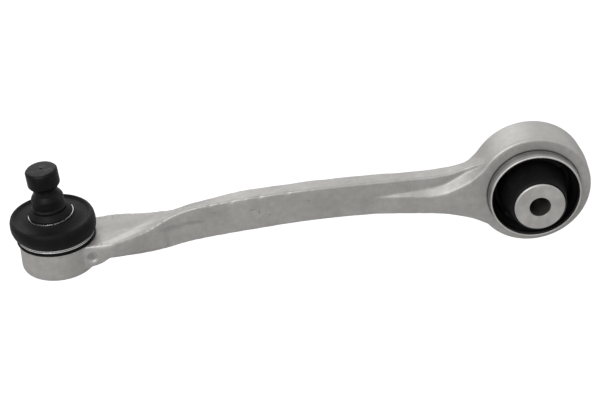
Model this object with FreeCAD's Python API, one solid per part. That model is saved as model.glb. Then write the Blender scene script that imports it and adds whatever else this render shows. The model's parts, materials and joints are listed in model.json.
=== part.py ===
"""Forged suspension control arm: ball joint at one end, rubber bush at the other.

Millimetres. The origin is the centre of the bush, +Y runs along the bush's bolt, +Z is
parallel to the axis of the ball joint's housing and the ball joint lies towards -X. The
stud stands a few degrees off the housing's axis, leaning away from the bush.
"""
import FreeCAD, Part
import math
import os

V = FreeCAD.Vector
OUT = "parts"

# ---- Overall layout -------------------------------------------------------------------
ball_reach = 282.4          # bush axis to ball centre, along X
ball_rise = -4.1            # ball centre against the bush axis
stud_lean = 3.7             # degrees, stud's top away from the bush

# ---- Bush -----------------------------------------------------------------------------
bolt_bore_r = 6.1           # hole for an M12 bolt
inner_sleeve_r = 15.0
inner_sleeve_length = 60.0
inner_sleeve_chamfer = 0.5
outer_sleeve_r = 27.8
outer_sleeve_wall = 1.3
outer_sleeve_length = 37.0
sleeve_lip_turn = 0.4       # how far the outer sleeve's ends are rolled inwards
sleeve_lip_length = 2.2
rubber_setback = 1.2        # rubber stops this far short of the inner sleeve's face
rubber_rim_setback = 0.4    # and this far short of the outer sleeve's rolled end
trough_depth = 20.0         # annular trough, measured from the inner sleeve's face
trough_r = 21.6             # middle of the trough's floor
trough_floor = 3.4
void_depth = 6.0            # kidney-shaped voids, below the trough's floor
void_half_angle = 42.0

# ---- Eye of the forging ---------------------------------------------------------------
eye_wall = 6.8              # at the front and back faces
eye_width = 23.4
eye_crown = 1.0             # the outside is fuller in the middle by this much
eye_offset = 0.6            # the outside stands this much higher than the bore
eye_edge_round = 1.2

# ---- Blade of the forging -------------------------------------------------------------
blade_thickness = 10.5
blade_height = 21.6
blade_crown = 0.44          # where the bowed middle line is highest, share of the reach
blade_crown_rise = 3.7      # crown of the middle line above the bush axis
blade_bow = 14.0            # fall of the middle line half a reach away from its crown
blade_edge_round = 1.6
blade_start = 84.0          # full section from here, measured from the ball joint
eye_blend_length = 72.0     # the blade starts to spread this far from the bush axis

# ---- Flange beside the eye ------------------------------------------------------------
flange_length = 98.0        # from the bush axis
flange_step = 0.3           # flanges stop this far inside the blade's own edges
flange_rise = 2.2           # ledge above the blade's middle line where it fades out

# ---- Neck between blade and housing ---------------------------------------------------
neck_root_half_width = 16.2
neck_root_length = 32.0     # constant width up to here, from the ball joint
neck_length = 66.0
neck_top = 3.3              # above the ball centre, at the root
neck_top_slope = 0.11
neck_under = 9.6            # underside below the ball centre
neck_edge_round = 1.4
rib_under = 13.4            # bottom edge of the blade below the ball centre, at the housing

# ---- Ball joint -----------------------------------------------------------------------
ball_r = 12.0
ball_flat = 10.0            # flat under the ball, below its centre
ball_clearance = 0.04
shell_wall = 2.4
shell_top = 4.6             # shell's upper edge above the ball centre
shell_floor = 12.65         # shell's underside below the ball centre
shell_well_r = 5.0
cover_thickness = 1.6
cover_r = 17.0
crimp_lip = 0.9
crimp_overlap = 1.6
housing_r = 22.0
housing_flare = 0.3         # forging draft, over the height of the wall
housing_top = 3.1           # shoulder above the ball centre
housing_edge_round = 3.0
collar_r = 20.2             # the boot's foot sits round this
collar_top = 7.0
mouth_r = 12.4              # opening over the ball
dimple_r = 3.5
dimple_depth = 1.5
dimple_angle = -45.0
seat_gap = 0.05             # between parts that bear on each other

# ---- Boot and its rings ---------------------------------------------------------------
ring_lift = 4.6             # lower ring's underside above the ball centre
lower_ring_r = 22.7
lower_ring_wire = 0.8       # radial thickness of the flat wire
lower_ring_turns = 3
lower_ring_pitch = 0.82
boot_wall = 1.5
boot_lip_r = 23.3
boot_lip_room = 0.4         # between the lip and the neck's end
boot_bulge_r = 25.5
boot_bulge_height = 13.0    # above the ball centre
boot_crest_r = 22.8
boot_crest_height = 17.3
boot_collar_r = 11.0        # at the mouth; wider below, under the upper ring
boot_mouth_gap = 0.2        # round the slide ring, which leans
boot_mouth_drop = 0.9       # mouth's end below the stud's skirt
upper_ring_r = 13.5
upper_ring_wire = 1.0
upper_ring_lift = 18.7      # underside above the ball centre
upper_ring_room = 0.9       # room above and below the ring in its groove
mouth_ring_wall = 1.2
mouth_ring_length = 5.4

# ---- Stud -----------------------------------------------------------------------------
stud_r = 9.5
stud_top = 49.6             # above the ball centre
stud_chamfer = 1.0
stud_head_length = 9.9
groove_width = 7.8
groove_depth = 2.4
skirt_bottom = 24.2         # above the ball centre
skirt_r = 10.2
skirt_flare_length = 1.3
stud_seat_r = 8.0           # the boot's mouth sits round this
stud_seat_length = 7.2
stud_neck_r = 6.6
stud_cone_length = 2.0
centre_dimple_r = 0.9
centre_dimple_depth = 0.6
slide_gap = 0.05            # between the stud and the slide ring

ball_centre = V(-ball_reach, 0, ball_rise)
bond_gap = 0.02             # glue line between rubber and metal, and press-fit allowance


# ---- Helpers --------------------------------------------------------------------------
def polygon_face(points):
    return Part.Face(Part.makePolygon(points + [points[0]]))


def turned_on_stud(profile):
    """Turn (radius, height above the ball centre) points about the housing's axis."""
    face = polygon_face([ball_centre + V(r, 0, z) for r, z in profile])
    return face.revolve(ball_centre, V(0, 0, 1), 360)


def leaned(solid):
    """Lean a solid made on the housing's axis over to the stud's axis."""
    solid.rotate(ball_centre, V(0, 1, 0), -stud_lean)
    return solid


def turned_on_bush(profile):
    """Turn (radius, y) points about the bush axis."""
    face = polygon_face([V(r, y, 0) for r, y in profile])
    return face.revolve(V(0, 0, 0), V(0, 1, 0), 360)


def mirrored_profile(half):
    """Close a profile given for y >= 0 by its mirror image at y <= 0."""
    return half + [(r, -y) for r, y in reversed(half)]


def evenly(start, end, steps):
    return [start + (end - start) * i / steps for i in range(steps + 1)]


def spline(points):
    curve = Part.BSplineCurve()
    curve.interpolate([V(*p) for p in points])
    return curve.toShape()


def side_prism(top, bottom, half_width):
    """Prism across Y between two side-view curves, each a list of (x, z) points."""
    y = -half_width
    edges = [
        Part.makeLine(V(bottom[0][0], y, bottom[0][1]), V(top[0][0], y, top[0][1])),
        spline([(x, y, z) for x, z in top]),
        Part.makeLine(V(top[-1][0], y, top[-1][1]), V(bottom[-1][0], y, bottom[-1][1])),
        spline([(x, y, z) for x, z in bottom]),
    ]
    wire = Part.Wire(Part.__sortEdges__(edges))
    return Part.Face(wire).extrude(V(0, 2 * half_width, 0))


def plan_prism(half_outline):
    """Tall prism up Z from half widths given as (x, half width), symmetric about Y = 0."""
    low, height = -2 * eye_outer_r(), 4 * eye_outer_r()
    near = [V(x, -w, low) for x, w in half_outline]
    far = [V(x, w, low) for x, w in reversed(half_outline)]
    return polygon_face(near + far).extrude(V(0, 0, height))


def rounded(solid, radius, wanted):
    """Fillet the edges that `wanted` picks."""
    return solid.makeFillet(radius, [e for e in solid.Edges if wanted(e)])


# ---- Bush -----------------------------------------------------------------------------
def bush_inner_sleeve():
    half = inner_sleeve_length / 2
    return turned_on_bush(mirrored_profile([
        (bolt_bore_r, half),
        (inner_sleeve_r - inner_sleeve_chamfer, half),
        (inner_sleeve_r, half - inner_sleeve_chamfer),
    ]))


def bush_outer_sleeve():
    half = outer_sleeve_length / 2
    inside = outer_sleeve_r - outer_sleeve_wall
    return turned_on_bush(mirrored_profile([
        (inside, half - sleeve_lip_length),
        (inside - sleeve_lip_turn, half),
        (outer_sleeve_r - 2 * sleeve_lip_turn, half),
        (outer_sleeve_r, half - sleeve_lip_length),
    ]))


def bush_rubber():
    """Rubber between the sleeves: a deep trough from each side, with two kidney voids."""
    core = inner_sleeve_r + bond_gap
    rim = outer_sleeve_r - outer_sleeve_wall - bond_gap
    face = inner_sleeve_length / 2 - rubber_setback
    floor = inner_sleeve_length / 2 - trough_depth
    edge = outer_sleeve_length / 2 - sleeve_lip_length - rubber_rim_setback
    half_floor = trough_floor / 2
    body = turned_on_bush(mirrored_profile([
        (core, face),
        (core + 1.2, face - 0.5),
        (core + 2.6, face - 8.0),
        (trough_r - half_floor, floor),
        (trough_r + half_floor, floor),
        (rim - 0.7, edge - 1.0),
        (rim, edge),
    ]))
    length = void_depth + 1.0
    along = V(0, 1, 0)
    for y in (floor - void_depth, -floor - 1.0):
        outside = Part.makeCylinder(trough_r + half_floor, length, V(0, y, 0), along)
        inside = Part.makeCylinder(trough_r - half_floor, length, V(0, y, 0), along)
        ring = outside.cut(inside)
        for middle in (0, 180):
            body = body.cut(ring.common(wedge(middle, void_half_angle, y, length)))
    return body


def wedge(middle, half_angle, y, length):
    """Wedge about the bush axis, `middle` degrees up from +X, past the rubber's rim."""
    reach = 2 * outer_sleeve_r
    rays = [math.radians(middle + a) for a in (-half_angle, half_angle)]
    corners = [V(0, y, 0)] + [V(reach * math.cos(a), y, reach * math.sin(a)) for a in rays]
    return polygon_face(corners).extrude(V(0, length, 0))


# ---- Forging --------------------------------------------------------------------------
# Side-view curves run into the eye through points given as shares of its outside radius.
EYE_TOP = [(-1.35, 0.43), (-1.06, 0.52), (-0.82, 0.65), (-0.45, 0.78)]
EYE_BOTTOM = [(-1.35, -0.335), (-1.06, -0.41), (-0.84, -0.53), (-0.50, -0.78)]
EYE_LEDGE = [(-1.80, 0.15), (-1.35, 0.26), (-1.06, 0.39), (-0.86, 0.53), (-0.60, 0.66)]

# Share of the way from the ball joint to the full blade, then how much of the climb to
# the blade's top and bottom edges is done there.
NECK_SWEEP = [
    (0.18, 0.00, 0.00), (0.38, 0.00, 0.05), (0.54, 0.12, 0.12),
    (0.66, 0.30, 0.20), (0.77, 0.55, 0.40), (0.89, 0.85, 0.71),
]


def middle_line(x):
    """Height of the blade's bowed middle line."""
    from_crown = (x + blade_crown * ball_reach) / (ball_reach / 2)
    return blade_crown_rise - blade_bow * from_crown ** 2


def eye_outer_r():
    return outer_sleeve_r + bond_gap + eye_wall


def in_eye(shares):
    return [(x * eye_outer_r(), z * eye_outer_r()) for x, z in shares]


def blade_edge(side):
    """Points of the blade's top (side 1) or bottom (side -1) edge."""
    stations = evenly(-ball_reach + blade_start, -eye_blend_length, 5)
    return [(x, middle_line(x) + side * blade_height / 2) for x in stations]


def swept(column, start_height, blade_height_there):
    """Points of a side-view edge over the neck, from the housing to the blade."""
    points = []
    for row in NECK_SWEEP:
        height = start_height + (blade_height_there - start_height) * row[column]
        points.append((-ball_reach + blade_start * row[0], height))
    return points


def top_edge():
    """Side-view top edge, from inside the housing to inside the eye."""
    edge = blade_edge(1)
    return swept(1, ball_rise + neck_top, edge[0][1]) + edge + in_eye(EYE_TOP)


def bottom_edge():
    """Side-view bottom edge, from inside the housing to inside the eye."""
    edge = blade_edge(-1)
    return swept(2, ball_rise - rib_under, edge[0][1]) + edge + in_eye(EYE_BOTTOM)


def blade():
    body = side_prism(top_edge(), bottom_edge(), blade_thickness / 2)
    return rounded(body, blade_edge_round, is_long_edge)


def is_long_edge(edge):
    box = edge.BoundBox
    return box.YLength < 0.01 and box.XLength > ball_reach / 2


def lower_flange():
    """Flange under a ledge: as wide as the eye at the eye, faded into the blade further out."""
    start = -flange_length
    outer = eye_outer_r()
    ledge = [(x, middle_line(x) + flange_rise) for x in evenly(start, -2.2 * outer, 1)]
    bottom = [(start, middle_line(start) - blade_height / 2 + flange_step)]
    bottom += [(x, z + flange_step) for x, z in bottom_edge() if x > start + 4.0]
    body = side_prism(ledge + in_eye(EYE_LEDGE), bottom, eye_width / 2)
    root, tip = eye_width / 2 - 0.3, blade_thickness / 2 - 0.3
    return body.common(plan_prism([(start, tip), (-1.1 * outer, root), (0, root)]))


def top_flare():
    """Top edge widening into the eye, above the tip of the ledge."""
    outer = eye_outer_r()
    top = [(x, z - flange_step) for x, z in in_eye([(-1.9, 0.385)] + EYE_TOP)]
    under = in_eye([(-1.9, 0.32), (-1.35, 0.36), (-0.86, 0.55), (-0.45, 0.66)])
    body = side_prism(top, under, eye_width / 2)
    tip, root = blade_thickness / 2 - 0.3, eye_width / 2 - 0.8
    widths = [(-1.9 * outer, tip), (-1.15 * outer, tip + 0.8), (-0.6 * outer, root), (0, root)]
    return body.common(plan_prism(widths))


def eye_ring():
    half = eye_width / 2
    outer = eye_outer_r()
    e = eye_edge_round
    corner = [
        (outer - e + e * math.sin(a), half - e + e * math.cos(a))
        for a in evenly(0, math.radians(75), 3)
    ]
    crown = [
        (outer + eye_crown * math.sin(a), (half - e) * math.cos(a))
        for a in evenly(math.radians(8), math.pi / 2, 5)
    ]
    bore = outer_sleeve_r - 3.0
    ring = turned_on_bush(mirrored_profile([(bore, half)] + corner + crown[:-1]))
    return ring.translated(V(0, 0, eye_offset))


def neck():
    """Plate that spreads from the blade to the housing, its top rising to the blade."""
    root, tip = -ball_reach + 12.0, -ball_reach + neck_length
    top = ball_rise + neck_top
    climb = neck_top_slope * (neck_length - neck_root_length)
    low = ball_rise - neck_under
    profile = [
        V(root, -neck_root_half_width, top),
        V(-ball_reach + neck_root_length, -neck_root_half_width, top),
        V(tip, -neck_root_half_width, top + climb),
        V(tip, -neck_root_half_width, low),
        V(root, -neck_root_half_width, low),
    ]
    plate = polygon_face(profile).extrude(V(0, 2 * neck_root_half_width, 0))
    slim = blade_thickness / 2 - 0.3
    widths = [(root, neck_root_half_width)]
    for share in evenly(0, 1, 5):
        x = -ball_reach + neck_root_length + share * (neck_length - neck_root_length)
        widths.append((x, neck_root_half_width + (slim - neck_root_half_width) * share ** 0.9))
    plate = plate.common(plan_prism(widths))
    return rounded(plate, neck_edge_round, is_neck_rim)


def is_neck_rim(edge):
    """Rim edges of the neck run along the plate, away from Y = 0 and from the vertical."""
    box = edge.BoundBox
    return box.XLength > 2.0 and box.YMin * box.YMax > 0


def socket_floor():
    """Underside of the housing, relative to the ball centre."""
    return -(shell_floor + cover_thickness + seat_gap + crimp_lip)


def housing():
    low = socket_floor()
    e = housing_edge_round
    foot_r = housing_r + housing_flare
    edge = [
        (foot_r - e + e * math.sin(a), low + e - e * math.cos(a))
        for a in evenly(0, math.pi / 2, 5)
    ]
    outline = [(0, low)] + edge + [
        (housing_r, housing_top - 1.0),
        (housing_r - 1.0, housing_top),
        (collar_r, housing_top),
        (collar_r, collar_top - 0.5),
        (collar_r - 0.5, collar_top),
        (0, collar_top),
    ]
    return turned_on_stud(outline)


def socket_cavity():
    shell_r = ball_r + shell_wall + bond_gap
    cover_hole = cover_r + bond_gap
    low = socket_floor()
    return turned_on_stud([
        (0, low - 1.0),
        (cover_hole - crimp_overlap, low - 1.0),
        (cover_hole - crimp_overlap, low + crimp_lip),
        (cover_hole, low + crimp_lip),
        (cover_hole, -shell_floor),
        (shell_r, -shell_floor),
        (shell_r, shell_top + seat_gap),
        (mouth_r, shell_top + seat_gap),
        (mouth_r, collar_top + 1.0),
        (0, collar_top + 1.0),
    ])


def boot_seat():
    """Room round the collar for the boot's foot, cut where the neck and the blade rise."""
    room_r = boot_lip_r + boot_lip_room
    high = neck_top + 2.0
    return turned_on_stud([
        (collar_r, housing_top), (room_r, housing_top), (room_r, high), (collar_r, high),
    ])


def wall_dimple():
    """Round forging mark on the housing wall, with a small raised middle."""
    angle = math.radians(dimple_angle)
    out = V(math.cos(angle), math.sin(angle), 0)
    middle_height = (housing_top + socket_floor()) / 2
    wall = housing_r + housing_flare / 2
    centre = ball_centre + out * (wall - dimple_depth) + V(0, 0, middle_height)
    pit = Part.makeCylinder(dimple_r, 2 * dimple_depth + 1.0, centre, out)
    boss = Part.makeCone(dimple_r * 0.45, dimple_r * 0.2, dimple_depth * 0.6, centre, out)
    return pit.cut(boss)


def arm_forging():
    body = eye_ring()
    for piece in (top_flare(), lower_flange(), blade(), neck(), housing()):
        body = body.fuse(piece)
    start = V(0, -eye_width, 0)
    eye_bore = Part.makeCylinder(outer_sleeve_r + bond_gap, 2 * eye_width, start, V(0, 1, 0))
    return body.cut([eye_bore, socket_cavity(), boot_seat(), wall_dimple()])


# ---- Ball joint -----------------------------------------------------------------------
def ball():
    sphere = Part.makeSphere(ball_r, ball_centre)
    under = Part.makeBox(4 * ball_r, 4 * ball_r, ball_r)
    under.translate(ball_centre + V(-2 * ball_r, -2 * ball_r, -ball_flat - ball_r))
    return sphere.cut(under)


def bearing_shell():
    height = shell_floor + shell_top
    cup = Part.makeCylinder(ball_r + shell_wall, height, ball_centre + V(0, 0, -shell_floor))
    well = Part.makeCylinder(shell_well_r, shell_floor, ball_centre + V(0, 0, -shell_floor))
    return cup.cut([Part.makeSphere(ball_r + ball_clearance, ball_centre), well])


def closure_cover():
    low = -shell_floor - seat_gap - cover_thickness
    return Part.makeCylinder(cover_r, cover_thickness, ball_centre + V(0, 0, low))


def lower_clamp_ring():
    """Flat wire in three turns, its outside grooved between the turns."""
    inside = lower_ring_r - lower_ring_wire
    height = lower_ring_turns * lower_ring_pitch
    groove = 0.12
    outer = []
    for turn in range(lower_ring_turns):
        z = ring_lift + turn * lower_ring_pitch
        outer += [(lower_ring_r - groove, z), (lower_ring_r, z + groove)]
        outer += [(lower_ring_r, z + lower_ring_pitch - groove)]
    outer += [(lower_ring_r - groove, ring_lift + height)]
    return turned_on_stud([(inside, ring_lift)] + outer + [(inside, ring_lift + height)])


def upper_clamp_ring():
    low, high = upper_ring_lift, upper_ring_lift + upper_ring_wire
    inside = upper_ring_r - upper_ring_wire
    return leaned(turned_on_stud([
        (inside, low), (upper_ring_r, low), (upper_ring_r, high), (inside, high),
    ]))


def boot_mouth_ring():
    """Ring the stud's seat slides in; the boot's mouth grips its outside."""
    inside = stud_seat_r + slide_gap
    outside = inside + mouth_ring_wall
    top = skirt_bottom - seat_gap
    low = top - mouth_ring_length
    return leaned(turned_on_stud([(inside, low), (outside, low), (outside, top), (inside, top)]))


def boot_foot(top):
    """Boot's foot round the collar, with the lip and the seat of the lower ring."""
    foot_in = collar_r + seat_gap
    low = housing_top + seat_gap
    groove_r = lower_ring_r - lower_ring_wire - seat_gap
    return turned_on_stud([
        (foot_in, low),
        (boot_lip_r - 0.4, low),
        (boot_lip_r, low + 0.4),
        (boot_lip_r, ring_lift - 0.4),
        (groove_r, ring_lift - seat_gap),
        (groove_r, top),
        (foot_in, top),
    ])


def boot_fold(low):
    """Folded part of the boot, from the lower ring to the mouth."""
    foot_in = collar_r + seat_gap
    groove_r = lower_ring_r - lower_ring_wire - seat_gap
    mouth_in = stud_seat_r + slide_gap + mouth_ring_wall + boot_mouth_gap
    mouth_top = skirt_bottom - boot_mouth_drop
    ring_in = upper_ring_r - upper_ring_wire - boot_mouth_gap
    ring_low = upper_ring_lift - upper_ring_room
    ring_high = upper_ring_lift + upper_ring_wire + upper_ring_room
    outside = [
        (groove_r, low),
        (boot_bulge_r - 1.8, low + 0.6),
        (boot_bulge_r - 0.6, boot_bulge_height - 3.5),
        (boot_bulge_r, boot_bulge_height),
        (boot_bulge_r - 0.4, boot_bulge_height + 1.9),
        (boot_bulge_r - 1.3, boot_crest_height - 0.6),
        (boot_crest_r, boot_crest_height),
        (boot_crest_r - 3.0, boot_crest_height - 0.5),
        (upper_ring_r + 2.6, boot_crest_height - 0.3),
        (upper_ring_r + 0.8, ring_low),
        (ring_in, ring_low),
        (ring_in, ring_high),
        (boot_collar_r, mouth_top - 0.5),
        (boot_collar_r - 0.5, mouth_top),
    ]
    inside = [
        (mouth_in, mouth_top),
        (mouth_in, ring_low - boot_wall),
        (upper_ring_r + 0.4, ring_low - boot_wall),
        (upper_ring_r + 2.4, boot_crest_height - 0.3 - boot_wall),
        (boot_crest_r - 2.8, boot_crest_height - 0.5 - boot_wall),
        (boot_crest_r - 0.4, boot_crest_height - boot_wall),
        (boot_bulge_r - boot_wall - 0.6, boot_bulge_height + 1.5),
        (boot_bulge_r - boot_wall, boot_bulge_height),
        (boot_bulge_r - boot_wall - 0.5, boot_bulge_height - 3.5),
        (boot_bulge_r - boot_wall - 1.6, low + 1.9),
        (foot_in, low + 1.2),
        (foot_in, low),
    ]
    return turned_on_stud(outside + inside)


def dust_boot():
    """Rubber boot: straight foot, and a folded part that follows the leaning stud."""
    foot_top = ring_lift + lower_ring_turns * lower_ring_pitch + seat_gap
    mouth_middle = skirt_bottom - mouth_ring_length / 2
    shift = math.tan(math.radians(stud_lean)) * mouth_middle / (mouth_middle - foot_top)
    lean = FreeCAD.Matrix()
    lean.A13 = -shift
    lean.A14 = shift * (ball_rise + foot_top)
    return boot_foot(foot_top).fuse(boot_fold(foot_top).transformGeometry(lean))


def groove_arc(low):
    """Pinch groove of the stud as (radius, height) points."""
    half = groove_width / 2
    arc_r = (half ** 2 + groove_depth ** 2) / (2 * groove_depth)
    spread = math.asin(half / arc_r)
    centre_r = stud_r - groove_depth + arc_r
    return [
        (centre_r - arc_r * math.cos(a), low + half + arc_r * math.sin(a))
        for a in evenly(-spread, spread, 8)
    ]


def stud_pin():
    """Stud with a spherical seat on the ball, a seat for the boot, a skirt and a pinch groove."""
    seat_r = ball_r + ball_clearance
    root = math.sqrt(seat_r ** 2 - stud_neck_r ** 2) - 3.0
    boot_seat_low = skirt_bottom - stud_seat_length
    groove_low = stud_top - stud_head_length - groove_width
    body = turned_on_stud([
        (0, root),
        (stud_neck_r, root),
        (stud_neck_r, boot_seat_low - stud_cone_length),
        (stud_seat_r, boot_seat_low),
        (stud_seat_r, skirt_bottom),
        (skirt_r, skirt_bottom),
        (skirt_r, skirt_bottom + 0.4),
        (stud_r, skirt_bottom + skirt_flare_length),
    ] + groove_arc(groove_low) + [
        (stud_r, stud_top - stud_chamfer),
        (stud_r - stud_chamfer, stud_top),
        (centre_dimple_r, stud_top),
        (0, stud_top - centre_dimple_depth),
    ])
    return leaned(body.cut(Part.makeSphere(seat_r, ball_centre)))


NODES = {
    "arm_forging": arm_forging,
    "ball": ball,
    "bearing_shell": bearing_shell,
    "boot_mouth_ring": boot_mouth_ring,
    "bush_inner_sleeve": bush_inner_sleeve,
    "bush_outer_sleeve": bush_outer_sleeve,
    "bush_rubber": bush_rubber,
    "closure_cover": closure_cover,
    "dust_boot": dust_boot,
    "lower_clamp_ring": lower_clamp_ring,
    "stud_pin": stud_pin,
    "upper_clamp_ring": upper_clamp_ring,
}

os.makedirs(OUT, exist_ok=True)
for name, make in NODES.items():
    shape = make()
    print(name, "valid" if shape.isValid() else "INVALID", len(shape.Solids), round(shape.Volume, 1))
    shape.exportStep(os.path.join(OUT, name + ".step"))
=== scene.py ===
"""Forged suspension control arm, with a booted ball joint and a rubber bush, in a plain studio.

Sizes in the classes are millimetres; meshes are made in metres in the row frame.
"""
from __future__ import annotations

import json
import logging
import math
from collections.abc import Callable, Sequence
from dataclasses import dataclass
from enum import Enum

import bmesh
import bpy
import numpy as np
from mathutils import Matrix, Vector, noise


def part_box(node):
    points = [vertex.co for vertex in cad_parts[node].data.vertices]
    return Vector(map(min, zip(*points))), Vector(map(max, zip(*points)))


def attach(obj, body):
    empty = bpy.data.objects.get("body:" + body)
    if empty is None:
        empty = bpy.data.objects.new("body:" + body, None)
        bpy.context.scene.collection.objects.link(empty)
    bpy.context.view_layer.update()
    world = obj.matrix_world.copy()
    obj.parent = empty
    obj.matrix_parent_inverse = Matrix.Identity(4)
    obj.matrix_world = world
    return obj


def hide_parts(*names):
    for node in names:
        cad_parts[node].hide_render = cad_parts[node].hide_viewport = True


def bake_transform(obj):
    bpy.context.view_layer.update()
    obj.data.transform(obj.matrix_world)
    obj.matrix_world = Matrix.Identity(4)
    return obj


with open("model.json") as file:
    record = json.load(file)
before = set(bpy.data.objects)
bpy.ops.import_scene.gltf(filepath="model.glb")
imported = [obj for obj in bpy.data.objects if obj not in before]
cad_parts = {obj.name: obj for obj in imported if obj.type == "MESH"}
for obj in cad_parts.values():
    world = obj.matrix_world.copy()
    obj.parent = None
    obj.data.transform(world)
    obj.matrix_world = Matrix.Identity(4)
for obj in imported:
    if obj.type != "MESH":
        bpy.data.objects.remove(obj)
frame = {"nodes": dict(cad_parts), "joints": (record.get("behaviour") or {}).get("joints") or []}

log = logging.getLogger("control_arm")

MM = 0.001
Pair = tuple[float, float]
Triple = tuple[float, float, float]


# ---- Small geometry ---------------------------------------------------------------------


@dataclass(frozen=True)
class Track:
    """A smooth curve of values against a station, through given points."""

    points: tuple[Pair, ...]

    def at(self, station: float) -> float:
        """Value at a station, held level past the ends.

        Args:
            station: where along the track.

        Returns:
            The value there, from a cubic through the neighbouring points.
        """
        xs = [p[0] for p in self.points]
        ys = [p[1] for p in self.points]
        if station <= xs[0]:
            return ys[0]
        if station >= xs[-1]:
            return ys[-1]
        i = max(k for k in range(len(xs) - 1) if xs[k] <= station)
        width = xs[i + 1] - xs[i]
        t = (station - xs[i]) / width
        slopes = [self._slope(k) * width for k in (i, i + 1)]
        a, b = ys[i], ys[i + 1]
        return (
            a * (2 * t**3 - 3 * t**2 + 1)
            + slopes[0] * (t**3 - 2 * t**2 + t)
            + b * (3 * t**2 - 2 * t**3)
            + slopes[1] * (t**3 - t**2)
        )

    def _slope(self, i: int) -> float:
        """Slope at a point, limited so that the curve doesn't overshoot.

        Args:
            i: the point's number.

        Returns:
            Rise per unit of station.
        """
        last = len(self.points) - 1
        steps = []
        for k in (i - 1, i):
            if 0 <= k < last:
                (x0, y0), (x1, y1) = self.points[k], self.points[k + 1]
                steps.append((y1 - y0) / (x1 - x0))
        if len(steps) == 1:
            return steps[0]
        if steps[0] * steps[1] <= 0:
            return 0.0
        return 2 * steps[0] * steps[1] / (steps[0] + steps[1])


def smooth_step(value: float, low: float, high: float) -> float:
    """0 below low, 1 above high, and smooth between them."""
    t = min(max((value - low) / (high - low), 0.0), 1.0)
    return t * t * (3 - 2 * t)


def ease(values: np.ndarray, low: float, high: float) -> np.ndarray:
    """smooth_step for an array."""
    t = np.clip((values - low) / (high - low), 0, 1)
    return t * t * (3 - 2 * t)


def rounded_profile(corners: Sequence[Triple], steps: int = 5) -> list[Pair]:
    """Round the corners of a closed outline.

    Args:
        corners: (r, h, radius) of each corner in order; radius 0 leaves it sharp.
        steps: segments in each rounded corner.

    Returns:
        The outline as (r, h) points.
    """
    points: list[Pair] = []
    count = len(corners)
    for i, (r, h, radius) in enumerate(corners):
        here = Vector((r, h))
        before = Vector(corners[i - 1][:2]) - here
        after = Vector(corners[(i + 1) % count][:2]) - here
        if radius <= 0 or before.length < 1e-6 or after.length < 1e-6:
            points.append((r, h))
            continue
        angle = before.angle(after)
        if angle > math.pi - 0.02:
            points.append((r, h))
            continue
        reach = min(radius / math.tan(angle / 2), 0.49 * before.length, 0.49 * after.length)
        start = here + before.normalized() * reach
        end = here + after.normalized() * reach
        for k in range(steps + 1):
            t = k / steps
            point = start * (1 - t) ** 2 + here * (2 * t * (1 - t)) + end * t**2
            points.append((point.x, point.y))
    return points


def both_ends(side: Sequence[Triple], steps: int) -> list[Pair]:
    """Outline of a piece whose two ends mirror each other.

    Args:
        side: (r, h, radius) of the corners at positive height, in order.
        steps: segments in each rounded corner.

    Returns:
        The outline as (r, h) points.
    """
    return rounded_profile([*side, *((r, -h, radius) for r, h, radius in reversed(side))], steps)


def filled(outline: Sequence[Pair], longest: float) -> list[Pair]:
    """Add points along a closed outline, so that a dent can bend its straight parts.

    Args:
        outline: the outline's points.
        longest: about how far apart the points may be.

    Returns:
        The outline with the added points.
    """
    dense: list[Pair] = []
    for (r0, h0), (r1, h1) in zip(outline, [*outline[1:], outline[0]]):
        parts = max(1, int(math.hypot(r1 - r0, h1 - h0) / longest))
        dense.extend((r0 + (r1 - r0) * k / parts, h0 + (h1 - h0) * k / parts)
                     for k in range(parts))
    return dense


class Axis(Enum):
    """Which way a turned piece's axis points."""

    BUSH = "bush"
    HOUSING = "housing"
    STUD = "stud"


@dataclass(frozen=True)
class Datum:
    """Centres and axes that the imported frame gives, in millimetres."""

    ball: Vector
    stud_axis: Vector
    reach: float

    @staticmethod
    def read() -> Datum:
        """Read the ball's centre and the stud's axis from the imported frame.

        Returns:
            The centres and axes.
        """
        low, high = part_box("ball")
        radius = (high.x - low.x) / 2
        ball = Vector(((low.x + high.x) / 2, 0.0, high.z - radius)) / MM
        spin = next(j for j in frame["joints"] if j["name"] == "stud_spin")
        return Datum(ball, Vector(spin["axis"]).normalized(), -ball.x)

    def place(self, axis: Axis, radius: float, angle: float, height: float) -> Vector:
        """Point at a radius, angle and height on one of the axes.

        Args:
            axis: the axis the height runs along.
            radius: distance from the axis.
            angle: radians round it, from +X.
            height: along the axis, from the bush's centre or the ball's centre.

        Returns:
            The point in millimetres.
        """
        c, s = radius * math.cos(angle), radius * math.sin(angle)
        if axis is Axis.BUSH:
            return Vector((c, height, s))
        if axis is Axis.HOUSING:
            return self.ball + Vector((c, s, height))
        side = Vector((0, 1, 0)).cross(self.stud_axis).normalized()
        return self.ball + side * c + Vector((0, 1, 0)) * s + self.stud_axis * height


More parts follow.
